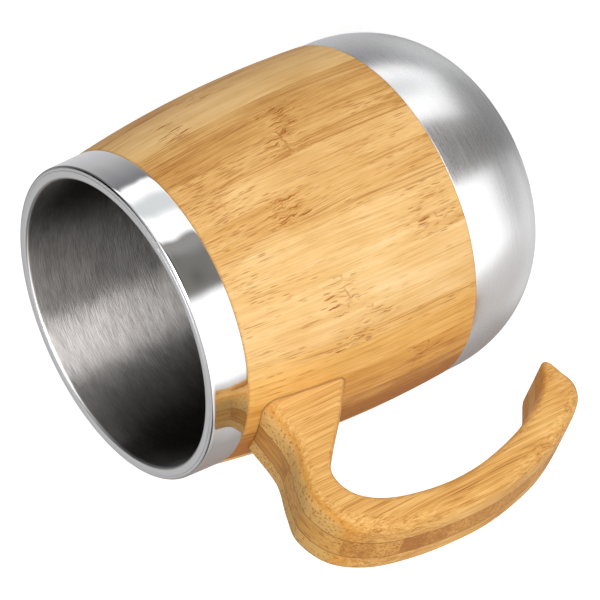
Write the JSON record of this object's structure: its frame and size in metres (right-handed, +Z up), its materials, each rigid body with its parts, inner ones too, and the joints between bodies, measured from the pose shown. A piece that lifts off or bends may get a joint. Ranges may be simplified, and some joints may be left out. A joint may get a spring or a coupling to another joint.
{
  "type": "bamboo cup",
  "caption": "Barrel-shaped drinking cup: drawn steel liner in a turned sleeve of glued bamboo staves, steel rim collar, rounded steel base cup and an open C handle of laminated bamboo.",
  "frame": {"origin": "centre of the flat underside of the base cup, on the cup's axis", "axes": "+Z up along the cup's axis out of the mouth, +X towards the handle, +Y to the handle's left side"},
  "size_m": [0.1309, 0.09, 0.1075],
  "materials": {
    "liner_steel": "circumferentially brushed stainless steel with a bright rolled lip",
    "collar_steel": "mirror-polished stainless steel",
    "base_steel": "satin stainless steel, finely brushed round the axis",
    "sleeve_bamboo": "turned laminated bamboo under a thin clear satin lacquer",
    "handle_bamboo": "laminated bamboo, sanded and lacquered satin",
    "core_bamboo": "cross-laid bamboo core, sanded and lacquered satin",
    "screw_steel": "plain steel wood screws"
  },
  "bodies": {
    "root": {"inner_liner": "liner_steel", "rim_collar": "collar_steel", "base_cup": "base_steel", "base_ring": "base_steel", "handle_left_ply": "handle_bamboo", "handle_core_ply": "core_bamboo", "handle_right_ply": "handle_bamboo", "handle_screws": "screw_steel", "sleeve_stave_1": "sleeve_bamboo", "sleeve_stave_2": "sleeve_bamboo", "sleeve_stave_3": "sleeve_bamboo", "sleeve_stave_4": "sleeve_bamboo", "sleeve_stave_5": "sleeve_bamboo", "sleeve_stave_6": "sleeve_bamboo", "sleeve_stave_7": "sleeve_bamboo", "sleeve_stave_8": "sleeve_bamboo", "sleeve_stave_9": "sleeve_bamboo", "sleeve_stave_10": "sleeve_bamboo", "sleeve_stave_11": "sleeve_bamboo", "sleeve_stave_12": "sleeve_bamboo", "sleeve_stave_13": "sleeve_bamboo", "sleeve_stave_14": "sleeve_bamboo", "sleeve_stave_15": "sleeve_bamboo", "sleeve_stave_16": "sleeve_bamboo", "sleeve_stave_17": "sleeve_bamboo", "sleeve_stave_18": "sleeve_bamboo"}
  },
  "joints": []
}
